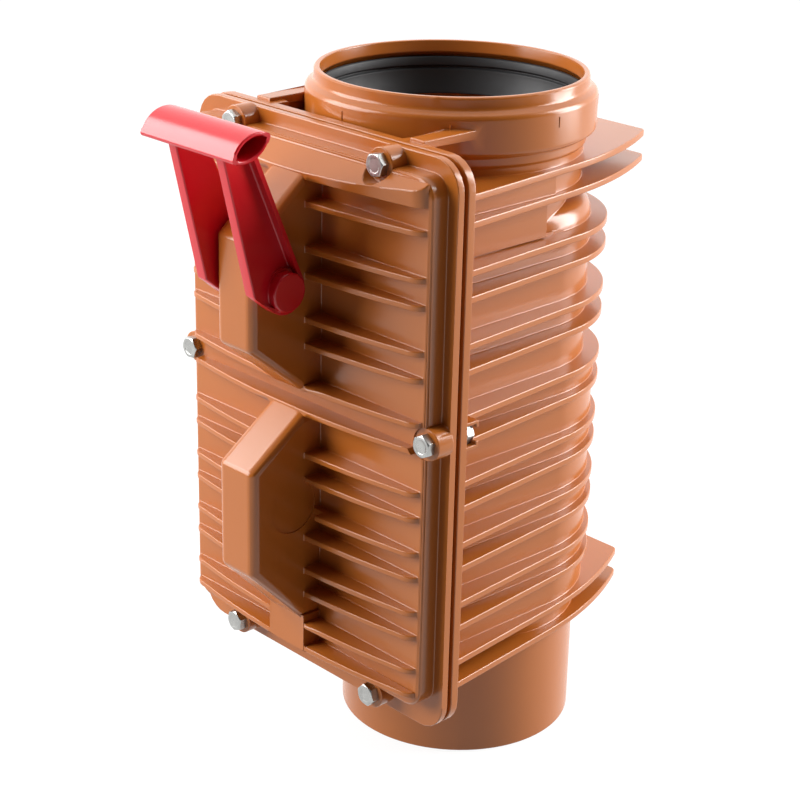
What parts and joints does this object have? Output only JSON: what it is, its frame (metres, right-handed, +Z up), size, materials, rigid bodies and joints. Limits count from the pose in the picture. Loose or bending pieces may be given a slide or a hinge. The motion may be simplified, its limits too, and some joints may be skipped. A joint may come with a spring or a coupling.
{
  "type": "backwater valve",
  "caption": "Upright drain backwater valve with ribbed body, bolted ribbed cover, swing flaps on frames inside, inlet socket, outlet spigot and a red locking lever.",
  "frame": {"origin": "centre of the outlet spigot's end", "axes": "+Z up the pipe from the outlet spigot towards the inlet socket, -Y towards the inspection cover, X across the cover"},
  "size_m": [0.239, 0.3355, 0.4545],
  "materials": {
    "orange_plastic": "satin moulded",
    "red_plastic": "glossy moulded",
    "grey_plastic": "moulded",
    "seal_rubber": "matt",
    "zinc_steel": "zinc plated"
  },
  "bodies": {
    "housing": {"housing": "orange_plastic", "socket_seal": "seal_rubber", "cover": "orange_plastic", "cover_gasket": "seal_rubber", "cover_bolts": "zinc_steel", "cover_nuts": "zinc_steel", "shaft_bushes": "grey_plastic", "shaft_o_rings": "seal_rubber", "upper_frame": "grey_plastic", "upper_frame_seal": "seal_rubber", "upper_hinge_pin": "zinc_steel", "upper_hinge_clips": "zinc_steel", "lower_frame": "grey_plastic", "lower_frame_seal": "seal_rubber", "lower_hinge_pin": "zinc_steel", "lower_hinge_clips": "zinc_steel"},
    "lever": {"lever": "red_plastic", "lever_shaft": "zinc_steel", "lock_arm": "grey_plastic", "lock_arm_pin": "zinc_steel"},
    "upper_flap": {"upper_flap": "orange_plastic", "upper_flap_seal": "seal_rubber", "upper_seal_ring": "grey_plastic"},
    "lower_flap": {"lower_flap": "orange_plastic", "lower_flap_seal": "seal_rubber", "lower_seal_ring": "grey_plastic"}
  },
  "joints": [
    {"name": "lever_turn", "type": "hinge", "parent": "housing", "child": "lever", "pos_m": [0, -0.18, 0.347], "axis": [1, 0, 0], "range_deg": [0, 75]},
    {"name": "upper_flap_swing", "type": "hinge", "parent": "housing", "child": "upper_flap", "pos_m": [0, -0.11, 0.3711], "axis": [1, 0, 0], "range_deg": [0, 90]},
    {"name": "lower_flap_swing", "type": "hinge", "parent": "housing", "child": "lower_flap", "pos_m": [0, -0.11, 0.2296], "axis": [1, 0, 0], "range_deg": [0, 90]}
  ]
}
